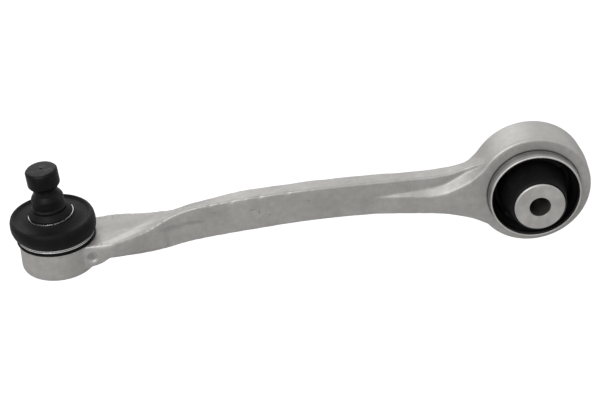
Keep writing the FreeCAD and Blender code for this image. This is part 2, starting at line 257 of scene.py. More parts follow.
class Shape:
    """Vertices and faces under construction, in millimetres."""

    def __init__(self) -> None:
        """Start with nothing."""
        self.points: list[Vector] = []
        self.faces: list[tuple[int, ...]] = []

    def ring_grid(self, rings: Sequence[Sequence[Vector]], closed: bool) -> None:
        """Skin a run of equal rings of points.

        Args:
            rings: the rings, each closed on itself.
            closed: True joins the last ring to the first; False caps both ends.
        """
        base = len(self.points)
        width = len(rings[0])
        for ring in rings:
            self.points.extend(ring)
        count = len(rings)
        for i in range(count if closed else count - 1):
            j = (i + 1) % count
            for k in range(width):
                m = (k + 1) % width
                self.faces.append((
                    base + i * width + k, base + i * width + m,
                    base + j * width + m, base + j * width + k,
                ))
        if not closed:
            self._cap(base, rings[0], flip=True)
            self._cap(base + (count - 1) * width, rings[-1], flip=False)

    def _cap(self, start: int, ring: Sequence[Vector], flip: bool) -> None:
        """Close an end with triangles round its middle.

        Args:
            start: number of the ring's first point.
            ring: its points.
            flip: True turns the triangles over.
        """
        middle = sum(ring, Vector()) / len(ring)
        self.points.append(middle)
        hub = len(self.points) - 1
        for k in range(len(ring)):
            a, b = start + k, start + (k + 1) % len(ring)
            self.faces.append((hub, b, a) if flip else (hub, a, b))

    def build(self, name: str, crease: float = 32.0) -> bpy.types.Object:
        """Make the Blender object, in metres, with outward faces and sharp creases.

        Args:
            name: the object's name.
            crease: edges that bend by more degrees than this stay sharp.

        Returns:
            The new object, linked to the scene.
        """
        mesh = bpy.data.meshes.new(name)
        mesh.from_pydata([tuple(p * MM) for p in self.points], [], self.faces)
        piece = bpy.data.objects.new(name, mesh)
        bpy.context.scene.collection.objects.link(piece)
        tidy(piece, crease)
        return piece


def tidy(piece: bpy.types.Object, crease: float) -> None:
    """Merge doubled points, face every face outwards and mark the sharp edges.

    Args:
        piece: the mesh object.
        crease: edges that bend by more degrees than this stay sharp.
    """
    work = bmesh.new()
    work.from_mesh(piece.data)
    bmesh.ops.remove_doubles(work, verts=work.verts, dist=1e-7)
    bmesh.ops.dissolve_degenerate(work, edges=work.edges, dist=1e-7)
    bmesh.ops.recalc_face_normals(work, faces=work.faces)
    limit = math.radians(crease)
    for face in work.faces:
        face.smooth = True
    for edge in work.edges:
        edge.smooth = len(edge.link_faces) == 2 and edge.calc_face_angle(0.0) < limit
    work.to_mesh(piece.data)
    work.free()
    piece.data.update()


@dataclass(frozen=True)
class Lathe:
    """Turns closed outlines about one of the part's axes."""

    datum: Datum
    axis: Axis
    steps: int = 144
    shift: Callable[[float], Vector] | None = None
    dent: Callable[[float, float, float], float] | None = None

    def shape(self, outline: Sequence[Pair]) -> Shape:
        """Turn an outline.

        Args:
            outline: (radius, height) points round the closed section.

        Returns:
            The turned shape.
        """
        rings = []
        for i in range(self.steps):
            angle = 2 * math.pi * i / self.steps
            ring = []
            for r, h in outline:
                if self.dent is not None:
                    h = h + self.dent(angle, r, h)
                point = self.datum.place(self.axis, r, angle, h)
                if self.shift is not None:
                    point = point + self.shift(h)
                ring.append(point)
            rings.append(ring)
        made = Shape()
        made.ring_grid(rings, closed=True)
        return made


@dataclass(frozen=True)
class Coil:
    """A flat wire wound in a helix round one of the part's axes."""

    datum: Datum
    axis: Axis
    inner_r: float
    outer_r: float
    low: float
    wire_height: float
    pitch: float
    turns: float
    edge: float = 0.12
    start: float = 0.6
    steps: int = 120

    def shape(self) -> Shape:
        """Sweep the wire's section along the helix, with closed ends.

        Returns:
            The wound wire.
        """
        inner, outer, height, edge = self.inner_r, self.outer_r, self.wire_height, self.edge
        section = rounded_profile([
            (inner, 0.0, edge), (outer, 0.0, edge), (outer, height, edge), (inner, height, edge),
        ], steps=3)
        total = int(self.steps * self.turns)
        rings = []
        for i in range(total + 1):
            turn = i / self.steps
            angle = self.start + 2 * math.pi * turn
            rise = self.low + self.pitch * turn
            rings.append([self.datum.place(self.axis, r, angle, rise + h) for r, h in section])
        made = Shape()
        made.ring_grid(rings, closed=False)
        return made


# ---- Shader tools -----------------------------------------------------------------------


class Wire:
    """A node's output that takes part in Python arithmetic."""

    def __init__(self, graph: Graph, socket: bpy.types.NodeSocket) -> None:
        """Wrap a socket of a graph."""
        self.graph = graph
        self.socket = socket

    def output(self, name: str) -> Wire:
        """Another output of the same node."""
        return Wire(self.graph, self.socket.node.outputs[name])

    def _math(self, operation: str, *values: Wire | float) -> Wire:
        """Result of a Math node."""
        return self.graph.add("ShaderNodeMath", {"operation": operation}, dict(enumerate(values)))

    def __add__(self, other: Wire | float) -> Wire:
        """Sum."""
        return self._math("ADD", self, other)

    def __radd__(self, other: float) -> Wire:
        """Sum, number first."""
        return self._math("ADD", other, self)

    def __sub__(self, other: Wire | float) -> Wire:
        """Difference."""
        return self._math("SUBTRACT", self, other)

    def __rsub__(self, other: float) -> Wire:
        """Difference, number first."""
        return self._math("SUBTRACT", other, self)

    def __mul__(self, other: Wire | float) -> Wire:
        """Product."""
        return self._math("MULTIPLY", self, other)

    def __rmul__(self, other: float) -> Wire:
        """Product, number first."""
        return self._math("MULTIPLY", other, self)

    def __truediv__(self, other: Wire | float) -> Wire:
        """Quotient."""
        return self._math("DIVIDE", self, other)

    def larger(self, other: Wire | float) -> Wire:
        """The larger of two values."""
        return self._math("MAXIMUM", self, other)

    def sine(self) -> Wire:
        """Sine of the value in radians."""
        return self._math("SINE", self)

    def between(self, low: float, high: float) -> Wire:
        """Step from 0 to 1, smooth between two values and level outside them.

        Args:
            low: value at which the step begins.
            high: value at which it ends.

        Returns:
            The step.
        """
        return self.graph.add(
            "ShaderNodeMapRange",
            {"interpolation_type": "SMOOTHSTEP", "clamp": True},
            {"Value": self, "From Min": low, "From Max": high, "To Min": 0.0, "To Max": 1.0},
        )

    def within(self, full: float, none: float) -> Wire:
        """1 where the value is nearer to 0 than full, falling to 0 at none."""
        return 1 - (self * self).between(full * full, none * none)


Value = Wire | float | Triple
Inputs = dict[int | str, Value]


class Graph:
    """Node tree of a material or of the world."""

    def __init__(self, owner: bpy.types.Material | bpy.types.World, end: str) -> None:
        """Empty an owner's node tree.

        Args:
            owner: the material or world.
            end: type name of its output node.
        """
        owner.use_nodes = True
        self.owner = owner
        self.end = end
        self.tree = owner.node_tree
        self.tree.nodes.clear()
        self.coords: Wire | None = None

    @classmethod
    def of_material(cls, name: str) -> Graph:
        """Empty node tree of a new material."""
        return cls(bpy.data.materials.new(name), "ShaderNodeOutputMaterial")

    def add(self, kind: str, settings: dict[str, object], inputs: Inputs,
            output: int | str = 0) -> Wire:
        """One output of a new node, by its name or number."""
        return Wire(self, self._node(kind, settings, inputs).outputs[output])

    def _node(self, kind: str, settings: dict[str, object], inputs: Inputs) -> bpy.types.Node:
        """Make a node.

        Args:
            kind: the node's type name.
            settings: its properties, set first.
            inputs: values or wires by socket name or number.

        Returns:
            The node.
        """
        made = self.tree.nodes.new(kind)
        for name, value in settings.items():
            setattr(made, name, value)
        for key, value in inputs.items():
            socket = made.inputs[key]
            if isinstance(value, Wire):
                self.tree.links.new(value.socket, socket)
            elif socket.type == "RGBA":
                socket.default_value = (*value, 1.0)
            else:
                socket.default_value = value
        return made

    def finish(self, shader: Wire) -> bpy.types.Material | bpy.types.World:
        """Send a shader to the tree's output and give the material or world."""
        self._node(self.end, {}, {0: shader})
        return self.owner

    def here(self) -> Wire:
        """Object coordinates, in metres in the row frame."""
        if self.coords is None:
            self.coords = self.add("ShaderNodeTexCoord", {}, {}, "Object")
        return self.coords

    def vector(self, operation: str, *values: Value, output: str = "Vector") -> Wire:
        """Result of a Vector Math node."""
        inputs = dict(enumerate(values))
        return self.add("ShaderNodeVectorMath", {"operation": operation}, inputs, output)

    def split(self) -> tuple[Wire, Wire, Wire]:
        """Object coordinates as three numbers."""
        x = self.add("ShaderNodeSeparateXYZ", {}, {0: self.here()})
        return x, x.output("Y"), x.output("Z")

    def noise(self, scale: float, detail: float = 3.0, rough: float = 0.55,
              stretch: Triple | None = None) -> Wire:
        """Noise value.

        Args:
            scale: features per metre.
            detail: octaves.
            rough: strength of the fine octaves.
            stretch: factors for the coordinates, when they aren't even.

        Returns:
            A value from 0 to 1.
        """
        place = self.here() if stretch is None else self.vector("MULTIPLY", self.here(), stretch)
        return self.add("ShaderNodeTexNoise", {"noise_dimensions": "3D"}, {
            "Vector": place, "Scale": scale, "Detail": detail, "Roughness": rough,
        })

    def cells(self, scale: float) -> Wire:
        """Distance to the nearest of scattered points, for pits and specks."""
        return self.add("ShaderNodeTexVoronoi", {"feature": "F1"},
                        {"Vector": self.here(), "Scale": scale}, "Distance")

    def edges(self) -> Wire:
        """1 on convex edges, 0 in creases, one half on flats."""
        return self.add("ShaderNodeNewGeometry", {}, {}, "Pointiness")

    def upward(self) -> Wire:
        """How far the surface faces +Z, from -1 to 1."""
        normal = self.add("ShaderNodeNewGeometry", {}, {}, "Normal")
        return self.add("ShaderNodeSeparateXYZ", {}, {0: normal}, "Z")

    def mix(self, mask: Wire | float, low: Wire | Triple, high: Wire | Triple) -> Wire:
        """Mix two colours by a mask."""
        return self.add("ShaderNodeMix", {"data_type": "RGBA", "clamp_factor": True},
                        {0: mask, 6: low, 7: high}, 2)

    def bump(self, height: Wire, strength: float, distance: float,
             under: Wire | None = None) -> Wire:
        """Bumped normal.

        Args:
            height: the relief.
            strength: share of the relief that shows.
            distance: metres that a height of 1 stands for.
            under: a normal to build on.

        Returns:
            The normal.
        """
        inputs: Inputs = {"Height": height, "Strength": strength, "Distance": distance}
        if under is not None:
            inputs["Normal"] = under
        return self.add("ShaderNodeBump", {}, inputs)

    def surface(self, **sockets: Value) -> bpy.types.Material:
        """Finish with a Principled surface.

        Args:
            sockets: values by socket name, with underscores for spaces.

        Returns:
            The material.
        """
        inputs = {name.replace("_", " "): value for name, value in sockets.items()}
        return self.finish(self.add("ShaderNodeBsdfPrincipled", {}, inputs))


# ---- Finishes ---------------------------------------------------------------------------


@dataclass(frozen=True)
class DarkOval:
    """Dark oval on the front of the forging, in metres; some are scuffs, others painted shade."""

    x: float
    z: float
    half_long: float
    half_high: float
    strength: float = 0.55


@dataclass(frozen=True)
class BlastedForging:
    """Shot-blasted forged aluminium, brighter on its edges from wear and painted highlight, with
    painted highlights and shade in set places; places in metres.
    """

    pale: Triple = (0.52, 0.511, 0.496)
    # Darker tone of the blasted skin, also used for painted shade on the back of the neck.
    dull_and_shade: Triple = (0.362, 0.354, 0.34)
    # Pale colour for worn edges, and for painted highlights on edges, the neck's front band and the
    # eye's rim.
    rubbed_and_highlight: Triple = (0.66, 0.655, 0.635)
    # Dark colour for specks and scuffs, and for painted shade in creases, on the web's streak and
    # in the wall mark.
    sooty_and_shade: Triple = (0.15, 0.147, 0.14)
    # The first five ovals are small scuffs; the two long faint ones over the web's streak and the
    # last one, on the wall mark's upper side, are painted shade.
    scuffs_and_shade: tuple[DarkOval, ...] = (
        DarkOval(-0.1662, 0.0050, 0.0024, 0.00045), DarkOval(-0.1625, 0.0028, 0.0005, 0.0019),
        DarkOval(-0.1568, 0.0003, 0.0007, 0.0006, 0.65), DarkOval(-0.1890, 0.0058, 0.0016, 0.0004),
        DarkOval(-0.1330, 0.0070, 0.0010, 0.0004), DarkOval(-0.2140, -0.0012, 0.0095, 0.0024, 0.26),
        DarkOval(-0.2020, 0.0008, 0.0080, 0.0017, 0.28), DarkOval(-0.2624, -0.0093, 0.0028, 0.0026),
    )
    front_ends: Pair = (-0.004, -0.003)
    neck_starts: Pair = (-0.268, -0.254)
    neck_top: Pair = (-0.0045, -0.0020)
    band_ends: Pair = (-0.234, -0.218)
    band_at: Pair = (-0.2513, -0.0134)
    band_slope: float = 0.483
    shade_ends: Pair = (-0.236, -0.224)
    shade_y: float = 0.0030
    eye_starts: Pair = (-0.032, -0.016)
    eye_rim_squared: Pair = (0.00110, 0.00118)
    back_shade_y: Pair = (-0.0030, -0.0012)
    back_shade_starts: Pair = (-0.253, -0.247)
    back_shade_ends: Pair = (-0.218, -0.208)
    metallic: float = 0.5
    rough_low: float = 0.40
    rough_high: float = 0.56

    def make(self) -> bpy.types.Material:
        """Build the material.

        Returns:
            The material.
        """
        g = Graph.of_material("blasted_forging")
        grain = g.noise(1500, 2.0, 0.6)
        peen = g.noise(620, 3.0, 0.5)
        mottle = g.noise(42, 4.0, 0.6)
        body = self._placed(g, self._blasted(g, grain, mottle))
        # Edges paler: partly edge wear, partly a painted highlight along the rims.
        pale_edges = g.edges().between(0.507, 0.56) * (0.4 + 0.6 * mottle)
        body = g.mix(pale_edges * 0.32, body, self.rubbed_and_highlight)
        # Painted shade: darker in creases and hollows, where the pointiness is low.
        crease = (1 - g.edges().between(0.40, 0.495)) * (0.4 + 0.6 * peen)
        body = g.mix(crease * 0.45, body, self.sooty_and_shade)
        speck = (1 - g.cells(170).between(0.02, 0.11)) * g.noise(70, 2.0).between(0.60, 0.72)
        body = g.mix(speck * 0.5, body, self.sooty_and_shade)
        rough = self.rough_low + (self.rough_high - self.rough_low) * (grain * 0.5 + mottle * 0.5)
        relief = g.bump(peen * 0.6 + grain * 0.4, 0.35, 0.00035)
        relief = g.bump(1 - speck, 0.5, 0.0002, relief)
        return g.surface(
            Base_Color=body, Metallic=self.metallic, Roughness=rough - pale_edges * 0.08, Normal=relief
        )

    def _blasted(self, g: Graph, grain: Wire, mottle: Wire) -> Wire:
        """Mix the blasted skin's colour, from broad clouds down to the grain.

        Args:
            g: the material's graph.
            grain: the finest variation.
            mottle: the middle one.

        Returns:
            The colour.
        """
        cloud = g.noise(14, 2.0, 0.5)
        drawn = g.noise(60, 3.0, 0.6, (0.12, 1.0, 1.0))
        blotch = g.noise(260, 3.0, 0.6)
        tone = mottle * 0.35 + cloud * 0.2 + grain * 0.2 + drawn * 0.2 + blotch * 0.3 - 0.12
        return g.mix(tone.between(0.34, 0.74), self.dull_and_shade, self.pale)

    def _placed(self, g: Graph, body: Wire) -> Wire:
        """Marks that have their own place: scuffs, painted shade on the web and the wall mark,
        painted highlight and shade on the neck, painted highlight on the eye's rim.

        Args:
            g: the material's graph.
            body: the colour so far.

        Returns:
            The colour with the marks.
        """
        x, y, z = g.split()
        front = 1 - y.between(*self.front_ends)
        # Dark ovals: real scuffs, and painted shade on the web's streak and in the wall mark's
        # recess.
        for dark_oval in self.scuffs_and_shade:
            along, across = (x - dark_oval.x) / dark_oval.half_long, (z - dark_oval.z) / dark_oval.half_high
            oval = 1 - (along * along + across * across).between(0.1, 1.0)
            body = g.mix(oval * front * dark_oval.strength, body, self.sooty_and_shade)
        neck = z.between(*self.neck_top) * x.between(*self.neck_starts)
        # Painted highlight: a pale band along the neck's front edge, where its rounded edge catches
        # the light.
        start_x, start_y = self.band_at
        behind = y - start_y - (x - start_x) * self.band_slope
        band_highlight = behind.within(0.001, 0.004) * (1 - x.between(*self.band_ends))
        body = g.mix(band_highlight * neck * 0.5, body, self.rubbed_and_highlight)
        # Painted shade: a darker strip across the back of the neck's top.
        shade = (y - self.shade_y).within(0.001, 0.003) * (1 - x.between(*self.shade_ends))
        body = g.mix(shade * neck * 0.4, body, self.dull_and_shade)
        # Painted highlight: a pale ring along the eye's front rim.
        eye_rim_highlight = (x * x + z * z).between(*self.eye_rim_squared) * x.between(*self.eye_starts)
        body = g.mix(eye_rim_highlight * 0.28, body, self.rubbed_and_highlight)
        # Painted shade: the back part of the neck's top darker, where that surface tilts away from
        # the light.
        back_shade = y.between(*self.back_shade_y) * x.between(*self.back_shade_starts)
        back_shade = back_shade * (1 - x.between(*self.back_shade_ends))
        return g.mix(back_shade * 0.35, body, self.dull_and_shade)


@dataclass(frozen=True)
class TurnedMetal:
    """Machined or drawn metal with fine lines round its axis; sizes in metres.

    The line that runs through centre, along the direction where across is 0, is the axis.
    """

    name: str
    colour: Triple
    stain: Triple
    metallic: float = 0.9
    roughness: float = 0.30
    spread: float = 0.14
    line_pitch: float = 0.00022
    line_depth: float = 0.25
    centre: Triple = (0.0, 0.0, 0.0)
    across: Triple = (1.0, 0.0, 1.0)
    bore_r: float = 0.0
    # Dark colour of the painted shade in a bore and in the gap at a sleeve's seam.
    recess_shade: Triple = (0.03, 0.028, 0.025)
    seam: float = 0.0
    lip: float = 0.0
    # Pale colour of the painted highlight on a sleeve's end.
    lip_highlight: Triple = (0.72, 0.71, 0.69)

    def make(self) -> bpy.types.Material:
        """Build the material.

        Returns:
            The material.
        """
        g = Graph.of_material(self.name)
        offset = g.vector("SUBTRACT", g.here(), self.centre)
        flat = g.vector("MULTIPLY", offset, self.across)
        radius = g.vector("LENGTH", flat, output="Value")
        lengthwise = tuple(1.0 - share for share in self.across)
        along = g.vector("DOT_PRODUCT", offset, lengthwise, output="Value")
        phase = (radius + along) * (2 * math.pi / self.line_pitch)
        lines = (phase + g.noise(300, 2.0) * 3.0).sine() * 0.5 + 0.5
        patch = g.noise(120, 4.0, 0.6)
        fine = g.noise(2400, 2.0)
        body = g.mix((patch * 0.7 + fine * 0.3).between(0.35, 0.75), self.stain, self.colour)
        if self.bore_r:
            # Painted shade: the bore's wall darkened, as the inside of the hole lies in shade.
            bore_shade = 1 - radius.between(self.bore_r, self.bore_r + 0.0003)
            body = g.mix(bore_shade * (0.7 + 0.3 * patch), body, self.recess_shade)
        if self.lip:
            body = self._fitted(g, body, along * -1.0, patch)
        rough = self.roughness + self.spread * (patch - 0.4) + 0.06 * fine
        relief = g.bump(lines, self.line_depth, 0.00002)
        relief = g.bump(fine, 0.15, 0.00005, relief)
        return g.surface(Base_Color=body, Metallic=self.metallic, Roughness=rough, Normal=relief)

    def _fitted(self, g: Graph, body: Wire, reach: Wire, patch: Wire) -> Wire:
        """Painted shade in the gap where a pressed-in sleeve leaves its housing, and a painted
        highlight on its rubbed end.

        Args:
            g: the material's graph.
            body: the colour so far.
            reach: distance from the middle towards the near end.
            patch: broad variation.

        Returns:
            The colour with both.
        """
        # Painted shade: a dark line in the gap at the housing's face.
        gap_shade = reach.between(self.seam - 0.0002, self.seam)
        gap_shade = gap_shade * (1 - reach.between(self.seam + 0.0004, self.seam + 0.0007))
        body = g.mix(gap_shade * 0.8, body, self.recess_shade)
        # Painted highlight on the sleeve's end, partly its rubbed edge.
        rubbed_and_highlight = reach.between(self.lip - 0.0001, self.lip) * (0.35 + 0.65 * patch)
        return g.mix(rubbed_and_highlight, body, self.lip_highlight)


@dataclass(frozen=True)
class MouldedRubber:
    """Black rubber with a faint bloom and fine mould grain."""

    name: str
    black: Triple = (0.004, 0.004, 0.004)
    bloom: Triple = (0.015, 0.015, 0.0155)
    bloom_share: float = 0.35
    roughness: float = 0.55
    sheen: float = 0.11

    def make(self) -> bpy.types.Material:
        """Build the material.

        Returns:
            The material.
        """
        g = Graph.of_material(self.name)
        cloud = g.noise(75, 4.0, 0.6)
        smear = g.noise(220, 3.0, 0.65, (1.0, 1.0, 0.35))
        grain = g.noise(1800, 3.0, 0.6)
        dust = g.upward().between(0.2, 1.0) * cloud.between(0.35, 0.75)
        bloomed = (cloud * 0.5 + smear * 0.5).between(0.4, 0.8) * self.bloom_share
        body = g.mix(bloomed, self.black, self.bloom)
        body = g.mix(dust * 0.22, body, self.bloom)
        rough = self.roughness + 0.16 * (smear - 0.5) + 0.08 * dust
        relief = g.bump(grain, 0.35, 0.00006)
        relief = g.bump(cloud, 0.15, 0.0004, relief)
        return g.surface(
            Base_Color=body, Roughness=rough, Normal=relief, Specular_IOR_Level=self.sheen
        )


@dataclass(frozen=True)
class BlackPhosphate:
    """Dark phosphated steel, faintly grey where it has been handled, with a patchy painted
    highlight on its upward faces.
    """

    dark: Triple = (0.004, 0.004, 0.0045)
    handled: Triple = (0.026, 0.026, 0.026)
    highlight_grey: Triple = (0.06, 0.06, 0.058)
    bared: Triple = (0.12, 0.12, 0.115)
    metallic: float = 0.3
    roughness: float = 0.42
    sheen: float = 0.14
    line_pitch: float = 0.00035

    def make(self) -> bpy.types.Material:
        """Build the material.

        Returns:
            The material.
        """
        g = Graph.of_material("black_phosphate")
        cloud = g.noise(150, 4.0, 0.6)
        crystal = g.noise(2600, 2.0, 0.6)
        _, _, height = g.split()
        phase = height * (2 * math.pi / self.line_pitch) + g.noise(400, 2.0) * 4.0
        turned = phase.sine() * 0.5 + 0.5
        pale_edges = g.edges().between(0.53, 0.62)
        body = g.mix((cloud * 0.65 + crystal * 0.35).between(0.42, 0.78), self.dark, self.handled)
        # Painted highlight: patchy paler grey on the faces that point up.
        top_highlight = g.noise(260, 3.0, 0.6).between(0.5, 0.72) * g.upward().between(0.7, 0.95)
        body = g.mix(top_highlight * 0.6, body, self.highlight_grey)
        body = g.mix(pale_edges * 0.3, body, self.bared)
        rough = self.roughness + 0.18 * (cloud - 0.5) + 0.08 * crystal
        relief = g.bump(crystal, 0.3, 0.00005)
        relief = g.bump(turned, 0.25, 0.00002, relief)
        return g.surface(Base_Color=body, Metallic=self.metallic, Roughness=rough, Normal=relief,
                         Specular_IOR_Level=self.sheen)


@dataclass(frozen=True)
class BearingPlastic:
    """Natural bearing plastic, slightly cloudy."""

    pale: Triple = (0.80, 0.78, 0.72)
    aged: Triple = (0.66, 0.63, 0.55)

    def make(self) -> bpy.types.Material:
        """Build the material.

        Returns:
            The material.
        """
        g = Graph.of_material("bearing_plastic")
        fine = g.noise(1400, 2.0)
        body = g.mix(g.noise(90, 3.0).between(0.35, 0.7), self.aged, self.pale)
        return g.surface(
            Base_Color=body, Roughness=0.38 + 0.2 * fine, Normal=g.bump(fine, 0.2, 0.00005)
        )


# ---- Sub-assemblies ---------------------------------------------------------------------


Finish = BlastedForging | TurnedMetal | MouldedRubber | BlackPhosphate | BearingPlastic


def dress(piece: bpy.types.Object, finish: bpy.types.Material) -> None:
    """Give a piece its one material."""
    piece.data.materials.clear()
    piece.data.materials.append(finish)


@dataclass
class SubAssembly:
    """Common part of every sub-assembly: where things are and how pieces are placed."""

    datum: Datum

    def turned(self, name: str, axis: Axis, steps: int,
               outline: Sequence[Pair]) -> bpy.types.Object:
        """Piece turned from a closed outline, in so many steps round an axis."""
        return Lathe(self.datum, axis, steps).shape(outline).build(name)

    def upright(self, name: str, colour: Triple, stain: Triple, **sizes: float) -> TurnedMetal:
        """Turned metal with its lines round the ball joint's upright axis.

        Args:
            name: of the material.
            colour: of the clean metal.
            stain: of its darker patches.
            sizes: other fields of the finish.

        Returns:
            The finish.
        """
        centre = tuple(self.datum.ball * MM)
        return TurnedMetal(name, colour, stain, centre=centre, across=(1.0, 1.0, 0.0), **sizes)

    def fit(self, piece: bpy.types.Object, finish: Finish, body: str, slot: str, node: str) -> None:
        """Ride a finished piece on a body in place of a CAD node.

        Args:
            piece: the object.
            finish: its look.
            body: the CAD body it moves with.
            slot: the record's material slot.
            node: CAD node it stands for.
        """
        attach(piece, body)
        self.claim(piece, finish, slot, node)

    def claim(self, piece: bpy.types.Object, finish: Finish, slot: str, node: str) -> None:
        """Dress a piece, hide the CAD node it stands for, and log it with its slot.

        Args:
            piece: the object.
            finish: its look.
            slot: the record's material slot.
            node: CAD node it stands for.
        """
        dress(piece, finish.make())
        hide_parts(node)
        log.info("%s: %d faces, slot %s", piece.name, len(piece.data.polygons), slot)


@dataclass
class Forging(SubAssembly):
    """The arm's forged body: socket, neck, bowed blade, flange and eye."""

    voxel: float = 0.62
    bore_r: float = 27.82
    eye_half_width: float = 11.7
    eye_face_r: float = 34.35
    eye_crown_r: float = 35.3
    eye_offset: float = 0.65
    blade_half: float = 5.25
    top: Track = Track((
        (10, -1.2), (30, -1.1), (42, 0.0), (54, 2.4), (65, 5.6), (75, 9.0), (84, 10.9),
        (96, 12.0), (113, 13.1), (131, 13.8), (150, 14.3), (170, 14.35), (190, 14.1),
        (208, 13.8), (222, 13.6), (232, 14.2), (241, 16.4), (250, 20.2), (258, 24.5), (264, 28.0),
    ))
    top_drop: Track = Track((
        (60, 0.8), (68, 1.9), (75, 2.6), (84, 2.6), (94, 1.7), (103, 0.75), (113, 0.2), (122, 0.0),
        (192, 0.0), (206, 0.7), (230, 0.9), (240, 1.8), (248, 3.0), (256, 3.6), (266, 3.6),
    ))
    bottom: Track = Track((
        (10, -17.8), (32, -17.5), (44, -17.1), (54, -16.4), (64, -14.9), (74, -12.7),
        (84, -11.3), (100, -9.9), (120, -8.6), (140, -7.5), (160, -7.1), (180, -7.5),
        (200, -8.5), (216, -9.5), (228, -10.5), (238, -12.7), (246, -15.2), (254, -19.5),
        (264, -25.0),
    ))
    flange_half: Track = Track((
        (180, 4.9), (188, 5.4), (196, 6.2), (207, 7.3), (220, 8.6), (229, 9.7), (238, 10.6),
        (246, 11.25), (253, 11.6), (266, 11.65),
    ))
    ledge_front: Track = Track((
        (180, 3.2), (196, 3.6), (207, 3.3), (220, 2.1), (229, 3.2), (236, 6.0), (244, 10.0),
        (251, 16.0), (258, 24.0), (266, 26.0),
    ))
    ledge_back: Track = Track((
        (180, 3.4), (196, 4.2), (207, 4.9), (220, 6.2), (229, 7.5), (236, 10.8), (244, 15.0),
        (251, 19.0), (258, 25.0), (266, 27.0),
    ))
    flare_half: Track = Track((
        (216, 4.0), (230, 4.3), (240, 4.9), (247, 6.0), (254, 8.2), (262, 10.3), (270, 11.2),
    ))
    neck_half: Track = Track((
        (10, 16.2), (31, 16.2), (39, 14.3), (47, 11.9), (54, 9.8), (60, 7.6), (66, 5.9), (72, 5.1),
        (78, 4.6),
    ))
    neck_rise: Track = Track((
        (10, 3.2), (31, 3.2), (39, 3.8), (47, 4.6), (54, 5.8), (60, 7.8), (66, 9.8), (72, 11.8),
        (78, 13.6),
    ))
    neck_tilt: Track = Track((
        (16, 0.3), (30, 1.2), (40, 1.9), (50, 1.6), (56, 0.9), (62, 0.0), (68, -1.2), (78, -2.6),
    ))
    neck_under: Track = Track((
        (10, -17.6), (14, -17.0), (19, -16.0), (23, -15.0), (27, -13.4), (30, -11.4), (35, -11.2),
        (39, -11.5), (47, -12.0), (54, -12.7), (60, -13.4), (68, -12.6), (78, -11.2),
    ))
    blade_run: Triple = (12.0, 265.1, 2.0)
    flange_run: Triple = (184.0, 266.1, 2.0)
    flare_run: Triple = (222.0, 265.1, 1.5)
    neck_run: Triple = (10.0, 78.1, 1.5)
    crown: float = 0.2
    flare_height: float = 5.5
    wall: tuple[Triple, ...] = (
        (0.0, -15.2, 0.0), (22.3, -15.2, 3.2), (22.0, 3.1, 0.8), (20.2, 3.1, 0.3),
        (20.2, 7.0, 0.5), (0.0, 7.0, 0.0),
    )
    edge_nicks: tuple[Pair, ...] = (
        (91.2, 1.2), (97.5, 0.7), (104.3, 1.6), (112.0, 0.7), (120.9, 1.3), (137.4, 1.2),
        (151.0, 0.8),
    )
    nick_in: float = 0.40
    nick_down: float = 0.16
    streak_depth: float = 0.28
    streak_half: float = 1.7
    streak_starts: Pair = (57, 66)
    streak_ends: Pair = (78, 90)
    mark_at: Pair = (20.2, -8.6)
    mark_r: float = 3.5
    mark_depth: float = 1.2
    mark_dot: float = 0.25
    wave_scales: Pair = (0.05, 0.16)
    wave_out: Pair = (0.25, 0.08)
    wave_up: Pair = (0.20, 0.10)
    wave_starts: Pair = (30, 44)
    wave_ends: Pair = (240, 256)
    cavity: tuple[Pair, ...] = (
        (0.02, -16.2), (15.42, -16.2), (15.42, -14.9), (16.2, -14.3), (17.02, -14.3),
        (17.02, -12.65), (14.42, -12.65), (14.42, 4.65), (12.4, 4.65), (12.4, 6.4),
        (13.0, 8.4), (0.02, 8.4),
    )
    boot_seat: tuple[Pair, ...] = ((20.2, 3.1), (23.7, 3.1), (23.7, 7.0), (20.2, 7.0))
    bore_flare: float = 1.5
    crease: float = 38.0

    def build(self) -> None:
        """Mesh the forging, place it and dress it."""
        piece = self._skinned(self._rough_body())
        self._sculpt(piece)
        self._machine(piece)
        tidy(piece, self.crease)
        self.fit(piece, BlastedForging(), "arm", "forged_aluminium", "arm_forging")

    def _section(self, u: float, corners: Sequence[Triple], steps: int = 4) -> list[Vector]:
        """Rounded section at a station, from (y, z, radius) corners."""
        x = u - self.datum.reach
        return [Vector((x, y, z)) for y, z in rounded_profile(corners, steps)]

    def _rib(self, u: float, half: float, low: float, high: float, edge: float) -> list[Vector]:
        """Section of a rib whose top leans back and whose top and bottom are crowned.

        Args:
            u: station.
            half: half its width in Y.
            low: its bottom.
            high: its top.
            edge: radius of its four edges.

        Returns:
            The section's points, the same number for every station.
        """
        drop = self.top_drop.at(u)
        return self._section(u, [
            (-half, low, edge), (0.0, low - self.crown, 0.0), (half, low, edge),
            (half, high - drop, edge), (0.0, high + self.crown - drop / 2, 0.0),
            (-half, high, edge),
        ], 6)

    def _blade_section(self, u: float) -> list[Vector]:
        """Section of the blade at a station."""
        return self._rib(u, self.blade_half, self.bottom.at(u), self.top.at(u), 0.8)

    def _flare_section(self, u: float) -> list[Vector]:
        """Section of the rib that widens the blade's top towards the eye, at a station."""
        top = self.top.at(u)
        return self._rib(u, self.flare_half.at(u), top - self.flare_height, top - 0.1, 1.0)

    def _neck_section(self, u: float) -> list[Vector]:
        """Section of the neck: a level band in front and a slope behind it.

        Args:
            u: station.

        Returns:
            The section's points.
        """
        half, under = self.neck_half.at(u), self.neck_under.at(u)
        top = self.datum.ball.z + self.neck_rise.at(u)
        return self._section(u, [
            (-half, under, 1.5), (half, under, 1.5), (half, top + self.neck_tilt.at(u), 0.9),
            (-min(2.0, 0.3 * half), top, 0.8), (-half, top, 0.9),
        ])

